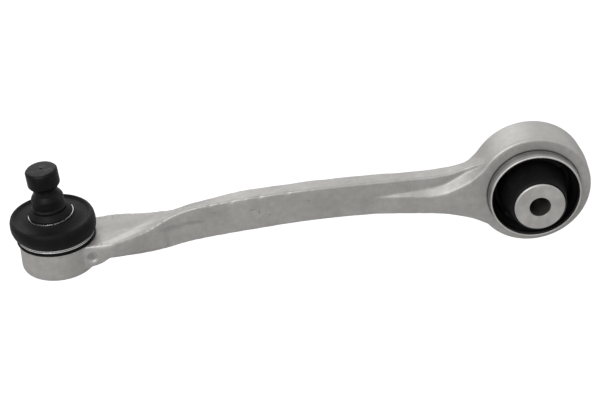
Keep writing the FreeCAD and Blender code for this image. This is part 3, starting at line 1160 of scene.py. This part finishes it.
    def _flange_section(self, u: float) -> list[Vector]:
        """Section of the flange under its sloping ledge.

        Args:
            u: station.

        Returns:
            The section's points.
        """
        half = self.flange_half.at(u)
        low = self.bottom.at(u) + 0.1
        front, back = self.ledge_front.at(u), self.ledge_back.at(u)
        inner = min(self.blade_half, half) - 0.2
        return self._section(u, [
            (-half, low, 1.2), (half, low, 1.2), (half, front, 0.5),
            (inner, back, 0.2), (-inner, back, 0.2), (-half, front, 0.5),
        ])

    def _ribs(self) -> list[Shape]:
        """Blade, flange, flare and neck as separate overlapping shells.

        Returns:
            The four shells.
        """
        made = []
        for run, section in (
            (self.blade_run, self._blade_section), (self.flange_run, self._flange_section),
            (self.flare_run, self._flare_section), (self.neck_run, self._neck_section),
        ):
            shell = Shape()
            shell.ring_grid([section(u) for u in np.arange(*run)], closed=False)
            made.append(shell)
        return made

    def _rough_body(self) -> bpy.types.Object:
        """All shells of the forging in one mesh, still overlapping.

        Returns:
            The mesh object.
        """
        half, face, inside = self.eye_half_width, self.eye_face_r, self.bore_r - 3.0
        eye = rounded_profile([
            (inside, -half, 0.0), (face - 0.5, -half, 1.3), (face + 0.2, -half + 1.2, 0.8),
            (self.eye_crown_r, 0.0, 6.0), (face + 0.2, half - 1.2, 0.8),
            (face - 0.5, half, 1.3), (inside, half, 0.0),
        ], steps=6)
        ring = Lathe(self.datum, Axis.BUSH, 160, shift=self._raised).shape(eye)
        socket = Lathe(self.datum, Axis.HOUSING, 128).shape(
            [(max(r, 0.02), h) for r, h in rounded_profile(self.wall)]
        )
        whole = Shape()
        for shell in [ring, socket, *self._ribs()]:
            base = len(whole.points)
            whole.points.extend(shell.points)
            whole.faces.extend(tuple(base + i for i in f) for f in shell.faces)
        return whole.build("forging_rough")

    def _raised(self, height: float) -> Vector:
        """Shift of the eye's outside from the bore's centre, the same at every height."""
        return Vector((0.0, 0.0, self.eye_offset))

    def _skinned(self, rough: bpy.types.Object) -> bpy.types.Object:
        """One skin over the overlapping shells.

        Args:
            rough: the shells; removed afterwards.

        Returns:
            The skinned object.
        """
        remesh = rough.modifiers.new("skin", "REMESH")
        remesh.mode = "VOXEL"
        remesh.voxel_size = self.voxel * MM
        depsgraph = bpy.context.evaluated_depsgraph_get()
        mesh = bpy.data.meshes.new_from_object(rough.evaluated_get(depsgraph))
        mesh.name = "forging"
        bpy.data.objects.remove(rough)
        piece = bpy.data.objects.new("forging", mesh)
        bpy.context.scene.collection.objects.link(piece)
        return piece

    def _sculpt(self, piece: bpy.types.Object) -> None:
        """Soften the skin into fillets, then press in the forging's marks.

        Args:
            piece: the skinned forging.
        """
        mesh = piece.data
        count = len(mesh.vertices)
        co = np.zeros(count * 3)
        mesh.vertices.foreach_get("co", co)
        co = co.reshape(-1, 3) / MM
        pairs = np.zeros(len(mesh.edges) * 2, dtype=np.int64)
        mesh.edges.foreach_get("vertices", pairs)
        pairs = pairs.reshape(-1, 2)
        co = self._relaxed(co, pairs)
        co = self._pressed(co)
        mesh.vertices.foreach_set("co", (co * MM).ravel())
        mesh.update()

    @staticmethod
    def _relaxed(co: np.ndarray, pairs: np.ndarray, rounds: int = 3) -> np.ndarray:
        """Average each point with its neighbours.

        Args:
            co: points.
            pairs: edges as pairs of point numbers.
            rounds: how often.

        Returns:
            The relaxed points.
        """
        count = len(co)
        degree = np.bincount(pairs.ravel(), minlength=count)[:, None].clip(1)
        for _ in range(rounds):
            total = np.zeros_like(co)
            for axis in range(3):
                total[:, axis] = (
                    np.bincount(pairs[:, 0], co[pairs[:, 1], axis], count)
                    + np.bincount(pairs[:, 1], co[pairs[:, 0], axis], count)
                )
            co = co + 0.5 * (total / degree - co)
        return co

    def _pressed(self, co: np.ndarray) -> np.ndarray:
        """Press in the streak and nicks on the web, the wall's round mark and slight waviness.

        Args:
            co: the skin's points.

        Returns:
            The pressed points.
        """
        u = co[:, 0] + self.datum.reach
        y, z = co[:, 1].copy(), co[:, 2].copy()
        front = ease(-y, 3.4, 4.8)
        streak = np.exp(-((z + 1.0 - 0.05 * (u - 73)) / self.streak_half) ** 2)
        streak *= ease(u, *self.streak_starts) * (1 - ease(u, *self.streak_ends))
        co[:, 1] += self.streak_depth * streak * front
        stations = np.arange(80.0, 170.0, 2.0)
        rim = z - np.interp(u, stations, [self.top.at(v) for v in stations])
        for station, size in self.edge_nicks:
            nick = np.exp(-((u - station) / (1.2 * size)) ** 2)
            nick *= np.exp(-(rim**2 + (y + self.blade_half) ** 2) / 2.2)
            co[:, 1] += self.nick_in * size * nick
            co[:, 2] -= self.nick_down * size * nick
        away = np.hypot(u - self.mark_at[0], z - self.mark_at[1])
        mark = self.mark_depth * (1 - ease(away, self.mark_r - 1.4, self.mark_r))
        mark += self.mark_dot * (1 - ease(away, 0.4, 1.9))
        co[:, 1] += mark * ease(-y, 11.0, 13.0)
        wave, ripple = (np.array([noise.noise(Vector(p * scale)) for p in co])
                        for scale in self.wave_scales)
        bare = ease(u, *self.wave_starts) * (1 - ease(u, *self.wave_ends))
        co[:, 1] += (self.wave_out[0] * wave + self.wave_out[1] * ripple) * bare * np.sign(y)
        co[:, 2] += (self.wave_up[0] * wave + self.wave_up[1] * ripple) * bare
        return co

    def _machine(self, piece: bpy.types.Object) -> None:
        """Cut the machined places: eye bore, ball socket and boot seat.

        Args:
            piece: the sculpted forging.
        """
        half, bore, wide = self.eye_half_width, self.bore_r, self.bore_r + self.bore_flare
        eye = [
            (0.02, -40.0), (wide, -40.0), (wide, -half - 0.9), (bore, -half + 0.6),
            (bore, half - 0.6), (wide, half + 0.9), (wide, 40.0), (0.02, 40.0),
        ]
        for tool in (
            self.turned("cut_eye", Axis.BUSH, 160, eye),
            self.turned("cut_socket", Axis.HOUSING, 128, self.cavity),
            self.turned("cut_seat", Axis.HOUSING, 128, self.boot_seat),
        ):
            cut = piece.modifiers.new("cut", "BOOLEAN")
            cut.operation = "DIFFERENCE"
            cut.solver = "EXACT"
            cut.object = tool
            depsgraph = bpy.context.evaluated_depsgraph_get()
            mesh = bpy.data.meshes.new_from_object(piece.evaluated_get(depsgraph))
            piece.modifiers.clear()
            piece.data = mesh
            bpy.data.objects.remove(tool)


@dataclass
class Bush(SubAssembly):
    """Inner sleeve, rubber and outer sleeve pressed into the eye."""

    bolt_r: float = 6.1
    inner_r: float = 15.0
    inner_half: float = 30.0
    outer_r: float = 27.8
    outer_half: float = 18.5
    wall: float = 1.3
    void_depth: float = 5.6
    void_half_angle: float = 40.0
    void_r: float = 21.5
    rubber_face: float = 28.8
    rubber_edge: float = 15.7
    trough_floor: float = 10.2
    rubber_step: float = 0.8

    def build(self) -> None:
        """Mesh, place and dress the bush's pieces."""
        self._inner_sleeve()
        self._outer_sleeve()
        self._rubber()

    def _inner_sleeve(self) -> None:
        """Thick sleeve with chamfered bore and a plain end face."""
        half, bolt, inner = self.inner_half, self.bolt_r, self.inner_r
        outline = both_ends([
            (bolt, half - 0.5, 0.1), (bolt + 0.35, half, 0.1), (inner - 0.6, half, 0.25),
            (inner, half - 0.6, 0.3),
        ], steps=3)
        # The finish paints shade on the bore's wall.
        finish = TurnedMetal("sleeve_aluminium", (0.60, 0.59, 0.57), (0.42, 0.41, 0.395),
                             metallic=0.6, roughness=0.42, line_pitch=0.0004, bore_r=0.0062)
        self.fit(self.turned("inner_sleeve", Axis.BUSH, 160, outline), finish,
                 "inner_sleeve", "sleeve_aluminium", "bush_inner_sleeve")

    def _outer_sleeve(self) -> None:
        """Thin sleeve whose ends are rolled slightly inwards."""
        half, outer = self.outer_half, self.outer_r
        inside = outer - self.wall
        outline = both_ends([
            (outer, half - 2.2, 1.5), (outer - 0.75, half - 0.05, 0.45),
            (inside - 0.4, half - 0.1, 0.4), (inside, half - 2.2, 1.5),
        ], steps=5)
        # The finish paints shade in the gap at the eye and a highlight on the sleeve's end.
        finish = TurnedMetal("sleeve_steel", (0.36, 0.355, 0.35), (0.24, 0.235, 0.23),
                             metallic=0.8, roughness=0.40, line_pitch=0.0003,
                             seam=0.0117, lip=0.0179)
        self.fit(self.turned("outer_sleeve", Axis.BUSH, 192, outline), finish,
                 "arm", "sleeve_steel", "bush_outer_sleeve")

    def _rubber(self) -> None:
        """Rubber with a deep trough each side and two kidney voids in its floor."""
        core, rim = self.inner_r + 0.03, self.outer_r - self.wall - 0.03
        face, floor, edge = self.rubber_face, self.trough_floor, self.rubber_edge
        outline = both_ends([
            (core, face, 0.0), (core + 0.5, face - 0.05, 0.3), (core + 1.3, face - 0.7, 0.8),
            (core + 2.5, face - 8.0, 3.0), (19.7, floor + 2.0, 2.0), (20.4, floor, 0.8),
            (22.6, floor, 0.8), (23.6, floor + 1.8, 1.6), (rim - 1.1, edge - 1.6, 1.0),
            (rim - 0.5, edge - 0.1, 0.4), (rim, edge, 0.0),
        ], steps=6)
        lathe = Lathe(self.datum, Axis.BUSH, 192, dent=self._void)
        piece = lathe.shape(filled(outline, self.rubber_step)).build("bush_rubber_body")
        self.fit(piece, MouldedRubber("bush_rubber", bloom_share=0.4, roughness=0.5),
                 "arm", "bush_rubber", "bush_rubber")

    def _void(self, angle: float, radius: float, height: float) -> float:
        """How far a point of the trough's floor sinks into a void.

        Args:
            angle: round the bush, from +X.
            radius: of the point.
            height: along the bush.

        Returns:
            The sink, towards the middle of the bush.
        """
        off = min(abs(math.remainder(angle, 2 * math.pi)),
                  abs(math.remainder(angle - math.pi, 2 * math.pi)))
        share = 1 - smooth_step(math.degrees(off), self.void_half_angle - 5, self.void_half_angle)
        near = 1 - smooth_step(abs(radius - self.void_r), 1.3, 2.0)
        low = 1 - smooth_step(abs(height), 11.0, 12.5)
        return -math.copysign(self.void_depth * share * near * low, height)


@dataclass
class BallJoint(SubAssembly):
    """Ball, shell and cover in the housing, and the stud that stands in them."""

    ball_r: float = 12.05
    stud_r: float = 9.5
    stud_top: float = 49.6
    seat: float = 24.2
    cover_low: float = -14.28
    cover_high: float = -12.7

    def build(self) -> None:
        """Mesh, place and dress the ball joint's pieces."""
        self._stud()
        self._cover()
        self._carried_over()

    def _stud(self) -> None:
        """Stud: neck, boot seat, skirt, pinch groove, head and centre mark."""
        radius, top, seat, ball = self.stud_r, self.stud_top, self.seat, self.ball_r
        foot = [(ball * math.sin(a), ball * math.cos(a)) for a in np.linspace(0.002, 0.575, 7)]
        body = [(6.6, 10.3, 0.1), (6.6, 15.0, 0.8), (8.0, 17.0, 0.5), (8.0, seat, 0.15),
                (10.2, seat, 0.3), (10.15, seat + 0.4, 0.3), (radius, seat + 1.4, 0.8),
                (radius, 30.9, 1.0), (8.75, 32.3, 0.5), (7.5, 33.8, 1.2), (7.1, 35.8, 2.0),
                (7.5, 37.7, 1.2), (8.8, 38.9, 0.5), (radius, 40.0, 0.9), (radius, top - 1.1, 0.6),
                (radius - 1.0, top, 0.4), (5.0, top, 0.0), (2.4, top, 0.0), (1.0, top, 0.15),
                (0.55, top - 0.5, 0.1), (0.02, top - 0.6, 0.0)]
        piece = self.turned("stud", Axis.STUD, 144, foot + rounded_profile(body, steps=5))
        self.fit(piece, BlackPhosphate(), "stud", "dark_steel", "stud_pin")

    def _cover(self) -> None:
        """Pressed cover under the ball, dished in its middle."""
        low, high = self.cover_low, self.cover_high
        outline = rounded_profile([
            (0.02, low + 0.6, 0.0), (7.0, low + 0.6, 1.0), (9.0, low, 1.0), (16.9, low, 0.3),
            (16.9, high, 0.3), (0.02, high, 0.0),
        ], steps=4)
        finish = self.upright("cover_steel", (0.44, 0.44, 0.45), (0.25, 0.25, 0.25),
                              roughness=0.4)
        self.fit(self.turned("cover", Axis.HOUSING, 96, outline), finish,
                 "arm", "cover_steel", "closure_cover")

    def _carried_over(self) -> None:
        """Dress the CAD nodes that stay as they are, inside the housing and the boot."""
        finishes = {
            "ball": self.upright("polished_steel", (0.66, 0.66, 0.68), (0.5, 0.5, 0.52),
                                 metallic=1.0, roughness=0.14, spread=0.05),
            "bearing_shell": BearingPlastic(),
            "boot_mouth_ring": self.upright("dark_ring", (0.05, 0.05, 0.052),
                                            (0.03, 0.03, 0.03), metallic=0.6, roughness=0.4),
        }
        for name, finish in finishes.items():
            dress(frame["nodes"][name], finish.make())
            log.info("%s: CAD node dressed", name)


@dataclass
class Boot(SubAssembly):
    """Rubber boot in two pieces that meet inside its crest, and the rings that hold it."""

    foot_top: float = 7.1
    seam_r: float = 20.8
    seam_h: float = 17.0
    square_share: float = 0.55
    ring_turns: float = 1.97

    def build(self) -> None:
        """Mesh, place and dress the boot and its rings."""
        self._lower()
        self._upper()
        self._lower_ring()
        self._upper_ring()

    def _follow(self, height: float) -> Vector:
        """Sideways shift of the boot's centre at a height, after the leaning stud."""
        lean = self.datum.stud_axis.x / self.datum.stud_axis.z
        return Vector((lean * height * smooth_step(height, self.foot_top, 10.5), 0.0, 0.0))

    def _square_up(self, angle: float, radius: float, height: float) -> float:
        """Tilt of the boot's top near the stud, which squares it up to the stud's axis."""
        share = 1 - smooth_step(radius, 14.5, self.seam_r)
        return -self.square_share * self.datum.stud_axis.x * radius * math.cos(angle) * share

    def _lathe(self, dent: Callable[[float, float, float], float] | None = None) -> Lathe:
        """Lathe for the boot, upright but following the stud's lean."""
        return Lathe(self.datum, Axis.HOUSING, 160, self._follow, dent)

    def _above(self, height: float) -> Triple:
        """Point straight above the ball's centre, in metres."""
        return tuple((self.datum.ball + Vector((0, 0, height))) * MM)

    def _lower(self) -> None:
        """Foot, lip, bulge and crest."""
        outside = [
            (20.26, 3.2, 0.2), (22.9, 3.2, 0.4), (23.3, 3.5, 0.3), (23.3, 4.15, 0.3),
            (21.85, 4.5, 0.15), (21.85, 7.12, 0.15), (23.4, 7.5, 0.8), (24.6, 9.3, 2.0),
            (25.05, 11.5, 2.5), (25.15, 13.4, 2.0), (24.9, 15.8, 1.5), (24.2, 17.6, 1.0),
            (22.8, 18.1, 0.8), (21.7, 17.35, 0.8), (self.seam_r, self.seam_h, 0.0),
        ]
        inside = [
            (self.seam_r, self.seam_h - 1.2, 0.0), (22.4, 15.6, 0.6), (23.4, 14.4, 1.0),
            (23.95, 13.0, 1.5), (23.4, 9.9, 1.5), (22.4, 8.9, 0.8), (20.26, 8.2, 0.3),
        ]
        piece = self._lathe().shape(rounded_profile(outside + inside, steps=6)).build("boot_lower")
        finish = MouldedRubber("boot_rubber_lower", bloom_share=0.45, roughness=0.46)
        self.claim(piece, finish, "boot_rubber", "dust_boot")
        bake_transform(piece)

    def _upper(self) -> None:
        """Dished top, ring seat and collar, up to the mouth."""
        outside = [
            (self.seam_r, self.seam_h, 0.0), (19.6, 16.95, 1.0), (17.6, 17.25, 1.5),
            (15.0, 18.15, 1.0), (13.85, 18.95, 0.3), (13.55, 18.25, 0.1), (12.4, 18.25, 0.1),
            (12.4, 19.85, 0.1), (13.2, 19.9, 0.2), (12.9, 20.6, 0.4), (11.1, 22.9, 0.6),
            (10.5, 23.4, 0.4), (9.5, 23.4, 0.1),
        ]
        inside = [
            (9.5, 19.0, 0.3), (12.8, 17.2, 0.5), (15.5, 16.3, 1.0), (18.8, 15.7, 1.0),
            (self.seam_r, self.seam_h - 1.2, 0.0),
        ]
        shape = self._lathe(self._square_up).shape(rounded_profile(outside + inside, steps=6))
        piece = shape.build("boot_upper")
        finish = MouldedRubber("boot_rubber_upper", bloom_share=0.35, roughness=0.5)
        self.claim(piece, finish, "boot_rubber", "dust_boot")
        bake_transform(piece)

    def _lower_ring(self) -> None:
        """Bright flat wire wound twice round the boot's foot."""
        coil = Coil(self.datum, Axis.HOUSING, inner_r=21.92, outer_r=22.66, low=4.58,
                    wire_height=0.56, pitch=1.0, turns=self.ring_turns)
        finish = self.upright("ring_wire", (0.80, 0.80, 0.81), (0.62, 0.62, 0.62),
                              metallic=1.0, roughness=0.2, spread=0.1)
        self.fit(coil.shape().build("lower_ring"), finish,
                 "arm", "ring_steel", "lower_clamp_ring")

    def _upper_ring(self) -> None:
        """Bright flat wire wound twice round the boot's collar, leaning with the stud."""
        coil = Coil(self.datum, Axis.STUD, inner_r=12.55, outer_r=13.46, low=18.35,
                    wire_height=0.42, pitch=0.47, turns=self.ring_turns, edge=0.1)
        finish = self.upright("ring_wire_upper", (0.50, 0.50, 0.51), (0.34, 0.34, 0.34),
                              metallic=1.0, roughness=0.22, spread=0.1)
        self.fit(coil.shape().build("upper_ring"), finish,
                 "boot_mouth", "ring_steel", "upper_clamp_ring")


# ---- Studio -----------------------------------------------------------------------------


@dataclass(frozen=True)
class Lamp:
    """Square area lamp: where it hangs, its power in watts and its side in metres."""

    name: str
    place: Triple
    power: float
    size: float = 1.0


@dataclass
class Studio:
    """Camera, lamps, white world and a pale floor well below the arm, in metres."""

    camera_at: Triple = (-0.20234, -1.0054, 0.62136)
    look: Triple = (0.05473, 0.85122, -0.52195)
    up: Triple = (0.11168, 0.51424, 0.85035)
    lens: float = 120.0
    sensor: float = 36.0
    clip_end: float = 50.0
    sky: Triple = (1.0, 0.99, 0.98)
    sky_strength: float = 0.34
    white: Triple = (1.0, 1.0, 1.0)
    lamps: tuple[Lamp, ...] = (
        Lamp("key", (-0.9, -1.1, 1.15), 15.0), Lamp("behind", (-0.3, 1.5, 0.95), 4.0),
    )
    lamp_aim: Triple = (-0.14, 0.0, 0.0)
    floor_size: float = 8.0
    floor_height: float = -0.155
    floor_low: Triple = (0.66, 0.66, 0.66)
    floor_high: Triple = (0.68, 0.68, 0.68)
    floor_glow: Triple = (0.70, 0.70, 0.70)
    glossy_share: float = 0.2

    def build(self) -> None:
        """Set up everything around the object."""
        self._camera()
        self._world()
        self._lamps()
        self._floor()
        bpy.context.scene.view_settings.view_transform = "Standard"

    def _camera(self) -> None:
        """Long-lens camera that looks down on the arm's front side."""
        data = bpy.data.cameras.new("camera")
        data.lens = self.lens
        data.sensor_width = self.sensor
        data.clip_end = self.clip_end
        camera = bpy.data.objects.new("camera", data)
        bpy.context.scene.collection.objects.link(camera)
        back = -Vector(self.look).normalized()
        right = Vector(self.up).cross(back).normalized()
        above = back.cross(right)
        turn = Matrix((right, above, back)).transposed().to_4x4()
        camera.matrix_world = Matrix.Translation(Vector(self.camera_at)) @ turn
        bpy.context.scene.camera = camera

    def _world(self) -> None:
        """Even grey light, seen as white by the camera and in reflections."""
        g = Graph(bpy.data.worlds.new("studio"), "ShaderNodeOutputWorld")
        camera = g.add("ShaderNodeLightPath", {}, {}, "Is Camera Ray")
        seen = camera.larger(camera.output("Is Glossy Ray"))
        light = {"Color": self.sky, "Strength": self.sky_strength}
        bpy.context.scene.world = g.finish(g.add("ShaderNodeMixShader", {}, {
            0: seen,
            1: g.add("ShaderNodeBackground", {}, light),
            2: g.add("ShaderNodeBackground", {}, {"Color": self.white, "Strength": 1.0}),
        }))

    def _lamps(self) -> None:
        """Large soft key lamp high on the left and a lower one behind."""
        for lamp in self.lamps:
            data = bpy.data.lights.new(lamp.name, "AREA")
            data.size = lamp.size
            data.energy = lamp.power
            hung = bpy.data.objects.new(lamp.name, data)
            hung.location = lamp.place
            aim = Vector(self.lamp_aim) - Vector(lamp.place)
            hung.rotation_euler = aim.to_track_quat("-Z", "Y").to_euler()
            bpy.context.scene.collection.objects.link(hung)

    def _floor(self) -> None:
        """Pale floor, low enough for the arm's downward swing, keeping its soft shadow."""
        half = self.floor_size / 2
        shape = Shape()
        for x, y in ((-half, -half), (half, -half), (half, half), (-half, half)):
            shape.points.append(Vector((x, y, self.floor_height)) / MM)
        shape.faces.append((0, 1, 2, 3))
        floor = shape.build("floor")
        g = Graph.of_material("pale_floor")
        camera = g.add("ShaderNodeLightPath", {}, {}, "Is Camera Ray")
        seen = camera + camera.output("Is Glossy Ray") * self.glossy_share
        base = g.mix(g.noise(3.0, 2.0), self.floor_low, self.floor_high)
        lit = g.add("ShaderNodeBsdfDiffuse", {}, {"Color": base})
        glow = g.add("ShaderNodeEmission", {}, {
            "Color": g.mix(seen, (0.0, 0.0, 0.0), self.floor_glow), "Strength": 1.0,
        })
        dress(floor, g.finish(g.add("ShaderNodeAddShader", {}, {0: lit, 1: glow})))


def main() -> None:
    """Build the classes in order."""
    logging.basicConfig(level=logging.INFO, format="%(message)s")
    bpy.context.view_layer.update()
    datum = Datum.read()
    Studio().build()
    Forging(datum).build()
    Bush(datum).build()
    BallJoint(datum).build()
    Boot(datum).build()


if __name__ == "__main__":
    main()
